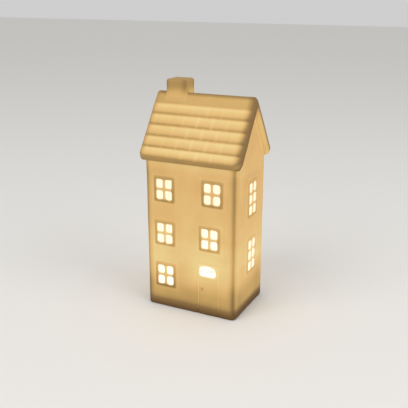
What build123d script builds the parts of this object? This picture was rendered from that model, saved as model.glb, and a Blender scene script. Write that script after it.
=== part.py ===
"""A slip-cast porcelain village house, lit from inside by a battery light insert.

The house is one hollow casting: walls, gables, shingled roof, chimney and a floor
with a round hole. The light insert plugs into that hole from below. It holds a coin
cell, a slide switch, a circuit board and one warm-white LED that stands on its top.

Millimetres, +Z up. The front wall, with the door, faces -Y and the ridge runs along X.
The origin is on the table, under the middle of the house.
"""

from build123d import *
import math
import os

# Cutting and fitting, used all over
overrun = 1.0
slip_fit = 0.05
free_gap = 0.3
thread_gap = 0.05

# Porcelain walls
wall_width = 73.0
wall_depth = 54.0
wall_thickness = 3.0
corner_radius = 3.5
foot_round = 0.8
foot_width = 4.0
floor_thickness = 3.5

# Porcelain roof
roof_pitch_degrees = 55.0
eave_height = 117.7
eave_overhang = 3.1
eave_drop = 3.2
eave_tuck = 1.0
rake_overhang = 4.2
roof_thickness = 5.0
roof_shell = 4.0
ridge_round = 2.2
eave_round = 2.2
course_count = 6
course_step = 0.9
ridge_course_extra = 0.8
course_round = 0.45
shingles_per_course = 7
joint_width = 0.9
joint_floor = 0.25
barge_length = 3.2
barge_round = 1.8

# Porcelain chimney, placed by shares of the wall's width and depth
chimney_place_shares = (-0.31, 0.067)
chimney_width = 16.0
chimney_depth = 16.0
chimney_rise = 9.7
chimney_root = 22.0
chimney_wall = 3.2
chimney_cap = 3.5
chimney_round = 2.0
chimney_top_round = 1.4

# Window openings, each with a raised frame
pane_width = 5.5
pane_height = 6.2
pane_round = 0.9
mullion_width = 2.1
frame_width = 1.8
frame_rise = 0.8
frame_round = 0.5

# Window centres: across, as a share of that wall's length, up, as a share of the
# eave height, and rows of panes
front_window_shares = (
    (-0.281, 0.798, 2),
    (-0.281, 0.51, 2),
    (-0.278, 0.225, 2),
    (0.2475, 0.809, 2),
    (0.2205, 0.518, 2),
)
gable_window_shares = ((0.045, 0.74, 3), (0.045, 0.365, 3))
back_window_shares = (
    (-0.28, 0.803, 2),
    (0.28, 0.803, 2),
    (-0.28, 0.514, 2),
    (0.28, 0.514, 2),
    (-0.28, 0.225, 2),
    (0.28, 0.225, 2),
)

# Front door, placed by a share of the wall's width
door_place_share = 0.205
door_width = 18.0
door_height = 40.9
door_round = 1.2
door_groove = 1.7
door_groove_depth = 0.9
fanlight_width = 12.6
fanlight_height = 7.3
fanlight_arch = 1.4
fanlight_sill = 31.4
knob_radius = 1.1
knob_height = 21.0
knob_inset = 4.2

# Coin cell and the tray that holds it
cell_radius = 10.0
cell_height = 3.2
cell_cap_radius = 8.8
cell_rim_height = 2.7
cell_play = 0.1
tray_wall = 1.2
tray_height = 3.8

# Light insert: shells, gasket and lift over the table
insert_lift = 1.0
base_thickness = 1.4
flange_lap = 2.0
gasket_sleeve = 1.5
gasket_lip = 0.8
gasket_lip_inset = 0.4
gasket_height = 4.4
gasket_lead_in = 0.5
housing_wall = 1.4
housing_height = 13.1
housing_round = 1.0

# Screws that join the insert's shells, at angles round its axis
housing_screw_angles = (0.0, 135.0, 225.0)
screw_boss_radius = 2.2
screw_radius = 0.85
screw_head_radius = 1.7
screw_head_height = 0.7
screw_reach = 5.6
screw_slot_width = 0.4
screw_slot_depth = 0.35

# Circuit board, its posts, resistor and LED
board_thickness = 1.0
board_rise = 5.6
board_margin = 0.6
post_radius = 1.2
post_ring_radius = 9.0
post_angles = (50.0, 180.0, 310.0)
resistor_length = 3.2
resistor_width = 1.6
resistor_height = 0.55
resistor_place = (-4.8, -4.6)
led_radius = 2.5
led_flange_radius = 2.9
led_flange_height = 1.0
led_height = 8.7
led_cup_radius = 1.1
led_cup_height = 1.3
led_cup_lift = 3.0
lead_side = 0.5
lead_pitch = 2.54
lead_tail = 0.6

# Slide switch and its slider
switch_length = 8.6
switch_width = 3.8
switch_height = 3.6
switch_lift = 0.8
switch_frame_wall = 0.4
switch_base_height = 0.9
terminal_side = 0.6
terminal_pitch = 2.54
slider_length = 2.0
slider_width = 1.6
slider_foot_length = 3.0
slider_foot_width = 2.2
slider_foot_height = 0.8
slider_travel = 2.0
slider_proud = 0.5

# Battery contacts
contact_thickness = 0.3
contact_width = 3.0
contact_leaf_tail = 2.0

# Battery door, its hinge and its captive screw
door_plate_play = 0.1
door_plate_lap = 0.8
door_edge_play = 0.25
hinge_barrel_radius = 0.9
hinge_barrel_length = 7.0
hinge_axle_radius = 0.5
hinge_axle_reach = 1.5
hinge_ear_wall = 0.7
ear_radius = 3.0
captive_radius = 0.95
captive_head_radius = 1.9
captive_head_height = 0.7
captive_reach = 1.6
captive_bore_gap = 0.3
captive_boss_wall = 1.2
retainer_radius = 1.7
retainer_height = 0.4

# Worked out from the sizes above: the roof
pitch = math.radians(roof_pitch_degrees)
eave_half = wall_depth / 2 + eave_overhang
ridge_height = eave_height + eave_half * math.tan(pitch)
slope_length = eave_half / math.cos(pitch)
course_length = slope_length / course_count
course_feet = [*(course * course_length + ridge_course_extra for course in range(1, course_count)), slope_length]
roof_length = wall_width + 2 * rake_overhang
shingle_width = roof_length / shingles_per_course
house_top = ridge_height + chimney_rise

# Worked out: radii of the insert, from the cell outwards
tray_inner = math.hypot(cell_radius + contact_thickness, contact_width / 2) + cell_play
tray_outer = tray_inner + tray_wall
switch_radius = tray_outer + free_gap + switch_width / 2
housing_inner = math.hypot(switch_radius + switch_width / 2, switch_length / 2) + free_gap
housing_outer = housing_inner + housing_wall
gasket_outer = housing_outer + slip_fit + gasket_sleeve
hole_radius = gasket_outer + slip_fit
flange_radius = hole_radius + flange_lap
screw_ring_radius = (tray_outer + housing_inner) / 2

# Worked out: heights of the insert, from the table up
base_top = insert_lift + base_thickness
gasket_lip_top = base_top + gasket_lip
floor_underside = gasket_lip_top + slip_fit
floor_top = floor_underside + floor_thickness
housing_top = base_top + housing_height
housing_ceiling = housing_top - housing_wall
board_bottom = base_top + board_rise
board_top = board_bottom + board_thickness
door_plate_top = base_top - door_plate_play
cell_bottom = door_plate_top + door_plate_play
cell_top = cell_bottom + cell_height
led_bottom = housing_ceiling - led_flange_height
switch_bottom = base_top + switch_lift
switch_top = switch_bottom + switch_height
door_radius = tray_inner + door_plate_lap
hinge_height = insert_lift + hinge_barrel_radius + slip_fit
hinge_offset = tray_outer + hinge_barrel_radius + free_gap
captive_place = door_radius + captive_head_radius + door_edge_play
retainer_bottom = door_plate_top + slip_fit
captive_boss_bottom = retainer_bottom + retainer_height + free_gap
captive_bore = captive_radius + captive_bore_gap


def disc(radius, bottom, top):
    """An upright cylinder on the insert's axis."""
    return Pos(0, 0, (bottom + top) / 2) * Cylinder(radius, top - bottom)


def ring(inner, outer, bottom, top):
    """An upright tube on the insert's axis."""
    return disc(outer, bottom, top) - disc(inner, bottom - overrun, top + overrun)


def block(size_x, size_y, bottom, top):
    """An upright box centred on the axis."""
    return Pos(0, 0, (bottom + top) / 2) * Box(size_x, size_y, top - bottom)


def around(angle, radius):
    """The place at an angle and radius round the insert's axis."""
    return Pos(radius * math.cos(math.radians(angle)), radius * math.sin(math.radians(angle)), 0)


def rounded_block(size_x, size_y, radius, bottom, top):
    """An upright block with rounded upright edges."""
    return Pos(0, 0, bottom) * extrude(RectangleRounded(size_x, size_y, radius), top - bottom)


def along_ridge(points, length):
    """A prism along X of an outline in Y and Z."""
    return extrude(Plane.YZ * Polygon(*points, align=None), length / 2, both=True)


def slope_point(along, proud):
    """A point on the front slope: distance down from the ridge, height over its base plane."""
    y = -along * math.cos(pitch) - proud * math.sin(pitch)
    z = ridge_height - along * math.sin(pitch) + proud * math.cos(pitch)
    return y, z


def under_roof(depth, y):
    """The height of a plane that lies a depth under the roof's base plane."""
    return ridge_height - depth / math.cos(pitch) - abs(y) * math.tan(pitch)


def edges_at(prism, places):
    """The edges along X that run through these places in Y and Z, on both slopes."""
    return [
        edge
        for edge in prism.edges().filter_by(Axis.X)
        if any(math.hypot(abs(edge.center().Y) + y, edge.center().Z - z) < slip_fit for y, z in places)
    ]


def roof_prism(courses, length):
    """A length of roof, from the points of its front slope below the ridge."""
    tuck = wall_depth / 2 - eave_tuck
    lip = (-wall_depth / 2, eave_height - eave_drop)
    front = [*courses, lip, (-tuck, under_roof(roof_thickness, tuck))]
    back = [(-y, z) for y, z in reversed(front)]
    ridge = (0, ridge_height + course_step / math.cos(pitch))
    prism = along_ridge([ridge, *front, (0, under_roof(roof_thickness, 0)), *back], length)
    prism = fillet(edges_at(prism, [ridge]), ridge_round)
    return fillet(edges_at(prism, [courses[-1]]), eave_round)


def roof_field():
    """The shingled slopes: a ridge course, then courses that each stand proud at their foot."""
    tips = [slope_point(foot, course_step) for foot in course_feet]
    courses = tips[:1]
    for head, tip in zip(course_feet, tips[1:]):
        courses += [slope_point(head, 0), tip]
    field = roof_prism(courses, roof_length - 2 * barge_length)
    return fillet(edges_at(field, tips[:-1]), course_round)


def barge(side):
    """The plain rounded end of the roof over one gable."""
    end = roof_prism([slope_point(slope_length, course_step)], barge_length)
    end = Pos(side * (roof_length - barge_length) / 2, 0, 0) * end
    outer = end.faces().sort_by(Axis.X)[-1 if side > 0 else 0]
    rim = [edge for edge in outer.edges() if edge.center().Z > under_roof(roof_thickness / 2, edge.center().Y)]
    return fillet(rim, barge_round)


def shingle_joints():
    """Grooves between the shingles, staggered from course to course."""
    depth = course_step + overrun - joint_floor
    grooves = []
    for slope in (-1, 1):
        for course, (head, foot) in enumerate(zip(course_feet, course_feet[1:])):
            shift = shingle_width / 2 if course % 2 == 1 else 0
            for number in range(shingles_per_course):
                x = -roof_length / 2 + shift + number * shingle_width
                if abs(x) > roof_length / 2 - barge_length - joint_width:
                    continue
                y, z = slope_point((head + foot) / 2, joint_floor + depth / 2)
                groove = Rot(-slope * roof_pitch_degrees, 0, 0) * Box(joint_width, foot - head, depth)
                grooves.append(Pos(x, -slope * y, z) * groove)
    return grooves


def chimney():
    """The chimney block, from inside the roof up to its plain top."""
    across, back = chimney_place_shares
    block_up = rounded_block(
        chimney_width, chimney_depth, chimney_round, ridge_height - chimney_root, house_top
    )
    block_up = fillet(block_up.edges().group_by(Axis.Z)[-1], chimney_top_round)
    return Pos(across * wall_width, back * wall_depth, 0) * block_up


def flue():
    """The hollow inside the chimney, closed at its top."""
    across, back = chimney_place_shares
    hollow = block(
        chimney_width - 2 * chimney_wall,
        chimney_depth - 2 * chimney_wall,
        ridge_height - chimney_root - overrun,
        house_top - chimney_cap,
    )
    return Pos(across * wall_width, back * wall_depth, 0) * hollow


def under_slopes(depth, bottom):
    """All the space between two heights that lies a depth under the roof's base plane."""
    half = eave_half + overrun
    outline = [
        (0, under_roof(depth, 0)),
        (-half, under_roof(depth, half)),
        (-half, bottom),
        (half, bottom),
        (half, under_roof(depth, half)),
    ]
    return along_ridge(outline, roof_length)


def wall_block():
    """The walls and gables as one solid, up into the roof."""
    upright = rounded_block(wall_width, wall_depth, corner_radius, 0, ridge_height)
    upright = fillet(upright.edges().group_by(Axis.Z)[0], foot_round)
    return upright & under_slopes(roof_thickness / 2, -overrun)


def room():
    """The hollow inside the walls and roof."""
    radius = max(corner_radius - wall_thickness, wall_thickness / 2)
    upright = rounded_block(
        wall_width - 2 * wall_thickness, wall_depth - 2 * wall_thickness, radius, floor_top, ridge_height
    )
    return upright & under_slopes(roof_shell, floor_top - overrun)


def foot_recess():
    """The hollow under the floor, inside the foot that stands on the table."""
    inside = rounded_block(
        wall_width - 2 * foot_width, wall_depth - 2 * foot_width, corner_radius, -overrun, floor_underside
    )
    return inside + disc(flange_radius + free_gap, -overrun, floor_underside)


def wall_planes():
    """Each wall's outer plane, x along the wall and y up it, with the wall's length."""
    front = Plane((0, -wall_depth / 2, 0), x_dir=(1, 0, 0), z_dir=(0, -1, 0))
    back = Plane((0, wall_depth / 2, 0), x_dir=(-1, 0, 0), z_dir=(0, 1, 0))
    right = Plane((wall_width / 2, 0, 0), x_dir=(0, 1, 0), z_dir=(1, 0, 0))
    left = Plane((-wall_width / 2, 0, 0), x_dir=(0, -1, 0), z_dir=(-1, 0, 0))
    return front, back, right, left


def window_places():
    """Every window as its wall plane, centre along and up the wall, and rows of panes."""
    front, back, right, left = wall_planes()
    places = [(front, u * wall_width, v * eave_height, rows) for u, v, rows in front_window_shares]
    places += [(back, u * wall_width, v * eave_height, rows) for u, v, rows in back_window_shares]
    places += [(right, u * wall_depth, v * eave_height, rows) for u, v, rows in gable_window_shares]
    places += [(left, -u * wall_depth, v * eave_height, rows) for u, v, rows in gable_window_shares]
    return places


def window_frame(plane, across, up, rows):
    """The raised border of one window."""
    width = 2 * pane_width + mullion_width + 2 * frame_width
    height = rows * pane_height + (rows - 1) * mullion_width + 2 * frame_width
    raised = extrude(RectangleRounded(width, height, frame_round), frame_rise + wall_thickness / 2)
    return plane.location * Pos(across, up, -wall_thickness / 2) * raised


def window_panes(plane, across, up, rows):
    """The openings of one window, two across and as many rows as it has."""
    depth = wall_thickness + frame_rise + 2 * overrun
    opening = extrude(RectangleRounded(pane_width, pane_height, pane_round), depth)
    step_u, step_v = pane_width + mullion_width, pane_height + mullion_width
    return [
        plane.location
        * Pos(across + side * step_u / 2, up + (row - (rows - 1) / 2) * step_v, -wall_thickness - overrun)
        * opening
        for side in (-1, 1)
        for row in range(rows)
    ]


def door_cuts():
    """The groove that draws the front door, and the arched light over it."""
    front = wall_planes()[0]
    across = door_place_share * wall_width
    tall = door_height + overrun
    outer = RectangleRounded(door_width, tall, door_round)
    inner = RectangleRounded(door_width - 2 * door_groove, tall - 2 * door_groove, door_round / 2)
    inner_down = Pos(0, -door_groove - overrun, 0) * Rectangle(door_width - 2 * door_groove, tall)
    groove = extrude(outer - inner - inner_down, door_groove_depth + overrun)
    groove = front.location * Pos(across, (door_height - overrun) / 2, -door_groove_depth) * groove
    arch_radius = (fanlight_width**2 / 4 + fanlight_arch**2) / (2 * fanlight_arch)
    arch = Pos(0, fanlight_height / 2 - arch_radius, 0) * Circle(arch_radius)
    light = extrude(Rectangle(fanlight_width, fanlight_height) & arch, wall_thickness + 2 * overrun)
    middle = fanlight_sill + fanlight_height / 2
    light = front.location * Pos(across, middle, -wall_thickness - overrun) * light
    return [groove, light]


def door_knob():
    """A round knob cast on the door."""
    x = door_place_share * wall_width - door_width / 2 + knob_inset
    return Pos(x, -wall_depth / 2, knob_height) * Sphere(knob_radius)


def porcelain_house():
    """The whole casting: outer form, then hollows, openings and grooves."""
    outer = wall_block() + roof_field() + barge(-1) + barge(1) + chimney()
    outer += [window_frame(*place) for place in window_places()] + [door_knob()]
    hollows = [room(), flue(), foot_recess(), disc(hole_radius, -overrun, floor_top + overrun)]
    openings = [pane for place in window_places() for pane in window_panes(*place)]
    return outer - hollows - openings - door_cuts() - shingle_joints()


def insert_gasket():
    """The silicone sleeve and lip that grip the floor's hole."""
    inner = housing_outer + slip_fit
    sleeve = ring(inner, gasket_outer, base_top, gasket_lip_top + gasket_height)
    top_edge = sleeve.edges().group_by(Axis.Z)[-1].sort_by(SortBy.RADIUS)[-1]
    sleeve = chamfer(top_edge, gasket_lead_in)
    return sleeve + ring(inner, flange_radius - gasket_lip_inset, base_top, gasket_lip_top)


def insert_housing():
    """The cup over the electronics, with screw bosses and board posts inside."""
    cup = disc(housing_outer, base_top, housing_top)
    cup = fillet(cup.edges().group_by(Axis.Z)[-1], housing_round)
    cup -= disc(housing_inner, base_top - overrun, housing_ceiling)
    cup -= disc(led_radius + slip_fit, base_top, housing_top + overrun)
    for angle in housing_screw_angles:
        cup += around(angle, screw_ring_radius) * disc(screw_boss_radius, base_top, housing_ceiling)
    for angle in post_angles:
        cup += around(angle, post_ring_radius) * disc(post_radius, board_top, housing_ceiling)
    bore_top = base_top + screw_reach + free_gap
    for angle in housing_screw_angles:
        bore = disc(screw_radius + thread_gap, base_top - overrun, bore_top)
        cup -= around(angle, screw_ring_radius) * bore
    return cup


def hinge_ears():
    """The two ears on the base that carry the battery door's axles."""
    start = hinge_barrel_length / 2 + slip_fit
    wall = hinge_axle_radius + hinge_ear_wall
    length = hinge_axle_reach + hinge_ear_wall
    ear = block(length, 2 * wall, insert_lift, hinge_height + wall)
    return [Pos(side * (start + length / 2), -hinge_offset, 0) * ear for side in (-1, 1)]


def axle_bores():
    """The holes in the ears that the axles turn in."""
    radius = hinge_axle_radius + slip_fit
    reach = 2 * (hinge_barrel_length / 2 + hinge_axle_reach + 2 * slip_fit)
    return Pos(0, -hinge_offset, hinge_height) * Rot(0, 90, 0) * Cylinder(radius, reach)


def door_opening():
    """The hole in the base for the battery door, its screw ear and its hinge."""
    bottom, top = insert_lift - overrun, base_top
    round_part = disc(door_radius + door_edge_play, bottom, top)
    ear_width = 2 * (ear_radius + door_edge_play)
    ear = Pos(0, captive_place / 2, 0) * block(ear_width, captive_place, bottom, top)
    ear += Pos(0, captive_place, 0) * disc(ear_radius + door_edge_play, bottom, top)
    swing = hinge_height - insert_lift + free_gap
    hinge_top = hinge_height + hinge_barrel_radius + free_gap
    hinge_length = hinge_offset + swing
    hinge = Pos(0, -hinge_length / 2, 0) * block(
        hinge_barrel_length + 2 * slip_fit, hinge_length, bottom, base_top
    )
    barrel = Pos(0, -hinge_offset, 0) * block(
        hinge_barrel_length + 2 * slip_fit, 2 * hinge_barrel_radius + free_gap, bottom, hinge_top
    )
    return round_part + ear + hinge + barrel


def insert_base():
    """The insert's bottom plate: flange, cell tray, hinge ears and the door screw's boss."""
    plate = disc(flange_radius, insert_lift, base_top) + hinge_ears() - door_opening()
    plate += ring(tray_inner, tray_outer, base_top, base_top + tray_height)
    boss_outer = captive_bore + captive_boss_wall
    boss_top = base_top + tray_height
    boss = Pos(0, captive_place, 0) * disc(boss_outer, captive_boss_bottom, boss_top)
    web = Pos(0, (tray_inner + captive_place) / 2, 0) * block(
        boss_outer, captive_place - tray_inner, captive_boss_bottom, boss_top
    )
    plate += boss + web - disc(tray_inner, base_top, boss_top + overrun)
    plate -= Pos(0, captive_place, 0) * disc(captive_bore, insert_lift, boss_top + overrun)
    plate -= axle_bores()
    slot_length = slider_length + slider_travel + 2 * free_gap
    slot = block(slider_width + 2 * free_gap, slot_length, insert_lift - overrun, base_top + overrun)
    plate -= Pos(-switch_radius, 0, 0) * slot
    for angle in housing_screw_angles:
        head = disc(screw_head_radius + slip_fit, insert_lift - overrun, insert_lift + screw_head_height)
        hole = disc(screw_radius + slip_fit, insert_lift, base_top + overrun)
        plate -= around(angle, screw_ring_radius) * (head + hole)
    return plate


def cross_slots(head_radius, bottom):
    """The crossed driver slots in the underside of a screw's head."""
    reach = 2 * head_radius * math.cos(math.pi / 4)
    slot = block(reach, screw_slot_width, bottom - overrun, bottom + screw_slot_depth)
    return slot + Rot(0, 0, 90) * slot


def housing_screws():
    """The screws that hold the base to the housing, one separate solid each."""
    head_top = insert_lift + screw_head_height
    head = disc(screw_head_radius, insert_lift, head_top) - cross_slots(screw_head_radius, insert_lift)
    screw = head + disc(screw_radius, head_top, base_top + screw_reach)
    return Compound([around(angle, screw_ring_radius) * screw for angle in housing_screw_angles])


def lead_places():
    """Where the LED's two leads stand."""
    return [Pos(side * lead_pitch / 2, 0, 0) for side in (-1, 1)]


def terminal_places():
    """Where the switch's three terminals stand."""
    return [Pos(-switch_radius, step * terminal_pitch, 0) for step in (-1, 0, 1)]


def negative_tab_place():
    """Where the negative contact's tab stands, inside the tray's rim."""
    return Pos(cell_cap_radius, 0, 0)


def positive_tab_place():
    """Where the positive contact stands, against the cell's rim."""
    return Pos(0, cell_radius + contact_thickness / 2, 0)


def circuit_board():
    """The round board, cut away round the bosses and pierced for what is soldered to it."""
    board = disc(housing_inner - board_margin, board_bottom, board_top)
    low, high = board_bottom - overrun, board_top + overrun
    for angle in housing_screw_angles:
        notch = disc(screw_boss_radius + board_margin, low, high)
        outward = Pos((housing_inner - screw_ring_radius) / 2, 0, 0) * block(
            housing_inner - screw_ring_radius, 2 * (screw_boss_radius + board_margin), low, high
        )
        board -= around(angle, screw_ring_radius) * Rot(0, 0, angle) * (notch + outward)
    for place in lead_places():
        board -= place * block(lead_side + 2 * slip_fit, lead_side + 2 * slip_fit, low, high)
    for place in terminal_places():
        board -= place * block(terminal_side + 2 * slip_fit, terminal_side + 2 * slip_fit, low, high)
    thick, wide = contact_thickness + 2 * slip_fit, contact_width + 2 * slip_fit
    board -= negative_tab_place() * block(thick, wide, low, high)
    board -= positive_tab_place() * block(wide, thick, low, high)
    return board


def led_lens():
    """The LED's clear body: flange, barrel and dome, hollow where its cup sits."""
    body = disc(led_flange_radius, led_bottom, led_bottom + led_flange_height)
    dome_base = led_bottom + led_height - led_radius
    body += disc(led_radius, led_bottom, dome_base)
    body += Pos(0, 0, dome_base) * Sphere(led_radius)
    return body - led_cup()


def led_cup():
    """The reflector cup and chip inside the LED's body."""
    bottom = led_bottom + led_cup_lift
    return Pos(0, 0, bottom + led_cup_height / 2) * Cone(led_cup_radius / 2, led_cup_radius, led_cup_height)


def led_leads():
    """The LED's two leads, down through the board."""
    lead = block(lead_side, lead_side, board_bottom - lead_tail, led_bottom)
    return Compound([place * lead for place in lead_places()])


def resistor():
    """The chip resistor on top of the board."""
    x, y = resistor_place
    return Pos(x, y, 0) * block(resistor_length, resistor_width, board_top, board_top + resistor_height)


def slider_room():
    """The space inside the switch that the slider moves in, open below."""
    stem = block(
        slider_width + 2 * slip_fit,
        slider_length + slider_travel + 2 * slip_fit,
        switch_bottom - overrun,
        switch_bottom + switch_frame_wall,
    )
    foot_top = switch_bottom + switch_frame_wall + slider_foot_height + slip_fit
    foot = block(
        slider_foot_width + 2 * slip_fit,
        slider_foot_length + slider_travel + 2 * slip_fit,
        switch_bottom + switch_frame_wall,
        foot_top,
    )
    return stem + foot


def switch_frame():
    """The switch's folded steel frame, open above for its base."""
    outer = block(switch_width, switch_length, switch_bottom, switch_top)
    wall = 2 * switch_frame_wall
    base_bottom = switch_top - switch_base_height
    inner = block(
        switch_width - wall, switch_length - wall, switch_bottom + switch_frame_wall, switch_top + overrun
    )
    filling = block(switch_width - wall, switch_length - wall, switch_bottom + switch_frame_wall, base_bottom)
    return Pos(-switch_radius, 0, 0) * (outer - inner + filling - slider_room())


def switch_base():
    """The laminate plate that closes the switch and carries its terminals."""
    wall = 2 * (switch_frame_wall + slip_fit)
    plate = block(
        switch_width - wall, switch_length - wall, switch_top - switch_base_height, switch_top
    )
    return Pos(-switch_radius, 0, 0) * plate


def switch_terminals():
    """The switch's three terminals, up through the board."""
    pin = block(terminal_side, terminal_side, switch_top, board_top + lead_tail)
    return Compound([place * pin for place in terminal_places()])


def switch_slider():
    """The slider: a foot inside the switch and a stem that stands out under the base."""
    foot_bottom = switch_bottom + switch_frame_wall + slip_fit / 2
    foot = block(
        slider_foot_width, slider_foot_length, foot_bottom, foot_bottom + slider_foot_height
    )
    stem = block(slider_width, slider_length, insert_lift - slider_proud, foot_bottom)
    return Pos(-switch_radius, slider_travel / 2, 0) * (foot + stem)


def contact_negative():
    """The leaf on the cell's cap, with a tab up through the board."""
    reach = cell_cap_radius + contact_leaf_tail + contact_thickness / 2
    leaf = block(reach, contact_width, cell_top, cell_top + contact_thickness)
    leaf = Pos(cell_cap_radius + contact_thickness / 2 - reach / 2, 0, 0) * leaf
    tab = block(contact_thickness, contact_width, cell_top, board_top + lead_tail)
    return leaf + negative_tab_place() * tab


def contact_positive():
    """The strip beside the cell's rim, up through the board."""
    strip = block(contact_width, contact_thickness, cell_bottom, board_top + lead_tail)
    return positive_tab_place() * strip


def coin_cell():
    """The coin cell: a can with a narrower cap above."""
    return disc(cell_radius, cell_bottom, cell_bottom + cell_rim_height) + disc(
        cell_cap_radius, cell_bottom, cell_top
    )


def battery_door():
    """The door under the cell, with its hinge barrel and the hole for its captive screw."""
    plate = disc(door_radius, insert_lift, door_plate_top)
    ear = Pos(0, captive_place / 2, 0) * block(2 * ear_radius, captive_place, insert_lift, door_plate_top)
    ear += Pos(0, captive_place, 0) * disc(ear_radius, insert_lift, door_plate_top)
    arm = Pos(0, -hinge_offset / 2, 0) * block(
        hinge_barrel_length, hinge_offset, insert_lift, door_plate_top
    )
    barrel = Cylinder(hinge_barrel_radius, hinge_barrel_length)
    axles = Cylinder(hinge_axle_radius, hinge_barrel_length + 2 * hinge_axle_reach)
    hinge = Pos(0, -hinge_offset, hinge_height) * Rot(0, 90, 0) * (barrel + axles)
    door = plate + ear + arm + hinge
    head = disc(captive_head_radius + slip_fit, insert_lift - overrun, insert_lift + captive_head_height)
    hole = disc(captive_radius + slip_fit, insert_lift, door_plate_top + overrun)
    return door - Pos(0, captive_place, 0) * (head + hole)


def battery_door_screw():
    """The door's captive screw, with a crossed head."""
    head_top = insert_lift + captive_head_height
    head = disc(captive_head_radius, insert_lift, head_top) - cross_slots(captive_head_radius, insert_lift)
    shank = disc(captive_radius, head_top, captive_boss_bottom + captive_reach)
    return Pos(0, captive_place, 0) * (head + shank)


def screw_retainer():
    """The ring that keeps the captive screw in the door."""
    washer = ring(
        captive_radius + thread_gap, retainer_radius, retainer_bottom, retainer_bottom + retainer_height
    )
    return Pos(0, captive_place, 0) * washer


PIECES = (
    porcelain_house,
    insert_gasket,
    insert_housing,
    insert_base,
    housing_screws,
    circuit_board,
    led_lens,
    led_cup,
    led_leads,
    resistor,
    switch_frame,
    switch_base,
    switch_terminals,
    switch_slider,
    contact_negative,
    contact_positive,
    coin_cell,
    battery_door,
    battery_door_screw,
    screw_retainer,
)

os.makedirs("parts", exist_ok=True)
for piece in PIECES:
    export_step(piece(), f"parts/{piece.__name__}.step")
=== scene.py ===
"""Looks of a lit porcelain village house that stands over a battery light insert.

The casting is modelled here, in two pieces that meet under the eaves: the walls with their
window frames, bars, floor and door, and the roof with its shingles and chimney. Each is melted into
one soft skin, as slip-cast porcelain is. How brightly a place glows is a value on its vertex. On the
walls it comes from how thick the porcelain is there and a curve of light by height, and on the roof
from the place on its course of shingles. The strengths of the light were set to match brightness
measured in the photograph. The light insert keeps its own solids and gets its finishes here.
"""
import math

import bmesh
import bpy
import numpy as np
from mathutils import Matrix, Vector
from mathutils.bvhtree import BVHTree


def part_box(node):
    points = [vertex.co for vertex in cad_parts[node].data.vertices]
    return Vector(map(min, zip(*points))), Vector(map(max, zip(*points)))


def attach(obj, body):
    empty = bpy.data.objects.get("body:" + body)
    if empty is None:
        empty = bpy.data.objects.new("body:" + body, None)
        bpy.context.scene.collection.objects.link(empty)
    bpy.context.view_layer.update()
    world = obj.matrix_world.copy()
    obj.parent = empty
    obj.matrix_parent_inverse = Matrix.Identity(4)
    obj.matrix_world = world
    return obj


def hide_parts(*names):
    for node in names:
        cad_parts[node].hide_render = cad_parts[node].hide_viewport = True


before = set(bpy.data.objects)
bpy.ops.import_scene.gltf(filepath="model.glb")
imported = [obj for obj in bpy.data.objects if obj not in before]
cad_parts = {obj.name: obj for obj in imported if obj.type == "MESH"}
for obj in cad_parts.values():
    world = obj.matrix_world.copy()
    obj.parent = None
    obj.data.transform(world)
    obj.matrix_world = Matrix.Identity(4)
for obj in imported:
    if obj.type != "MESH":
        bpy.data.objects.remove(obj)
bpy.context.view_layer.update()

MM = 0.001

# Walls and floor
house_low, house_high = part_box("porcelain_house")
WALL_WIDTH, WALL_DEPTH, WALL = 73.0 * MM, 54.0 * MM, 3.0 * MM
WALL_CORNER, ROOM_CORNER = 3.5 * MM, 2.0 * MM
FOOT_ROUND, FOOT_WIDTH, FOOT_CLEAR = 0.8 * MM, 4.0 * MM, 0.16 * MM
FLOOR_UNDER, FLOOR_TOP = 3.25 * MM, 6.75 * MM
HOLE_RADIUS = 19.68 * MM
OVERRUN = 1.0 * MM

# Roof
PITCH = math.radians(55.0)
EAVE_HALF, EAVE_HEIGHT = 30.1 * MM, 117.7 * MM
RIDGE = EAVE_HEIGHT + EAVE_HALF * math.tan(PITCH)
SLOPE = EAVE_HALF / math.cos(PITCH)
ROOF_LENGTH = house_high.x - house_low.x - 0.4 * MM
ROOF_THICKNESS, ROOF_SHELL = 5.0 * MM, 4.0 * MM
RAKE_ROUND, EAVE_CORNER = 2.4 * MM, 4.0 * MM
RIDGE_ROLL, RIDGE_END, RIDGE_LAP = 1.2 * MM, 0.9 * MM, 10.0 * MM
RIDGE_SHORT = 1.4 * RAKE_ROUND
EAVE_ROLL, EAVE_END, EAVE_ROLL_HEIGHT, EAVE_ROLL_OUT = 3.4 * MM, 2.4 * MM, 117.7 * MM, 26.5 * MM

# Shingles
COURSES, SHINGLES = 6, 7
COURSE, COURSE_SHIFT, SHINGLE_WIDTH = SLOPE / COURSES, 0.8 * MM, ROOF_LENGTH / SHINGLES
SHINGLE_THICKNESS, SHINGLE_STEP, SHINGLE_ROUND = 1.9 * MM, 0.95 * MM, 0.55 * MM
SHINGLE_INSET, SHINGLE_JOINT, RIDGE_STEP, EAVE_STEP = 2.0 * MM, 0.35 * MM, 0.7 * MM, 0.5 * MM

# Chimney
CHIMNEY_WIDTH, CHIMNEY_DEPTH = 16.0 * MM, 16.0 * MM
CHIMNEY_X, CHIMNEY_Y = -22.63 * MM, 3.62 * MM
CHIMNEY_ROOT = RIDGE - 22.0 * MM
CHIMNEY_WALL, CHIMNEY_CAP = 3.2 * MM, 3.5 * MM
CHIMNEY_ROUND, CHIMNEY_TOP_ROUND, CHIMNEY_FILLET = 2.0 * MM, 1.8 * MM, 2.5 * MM

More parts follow.
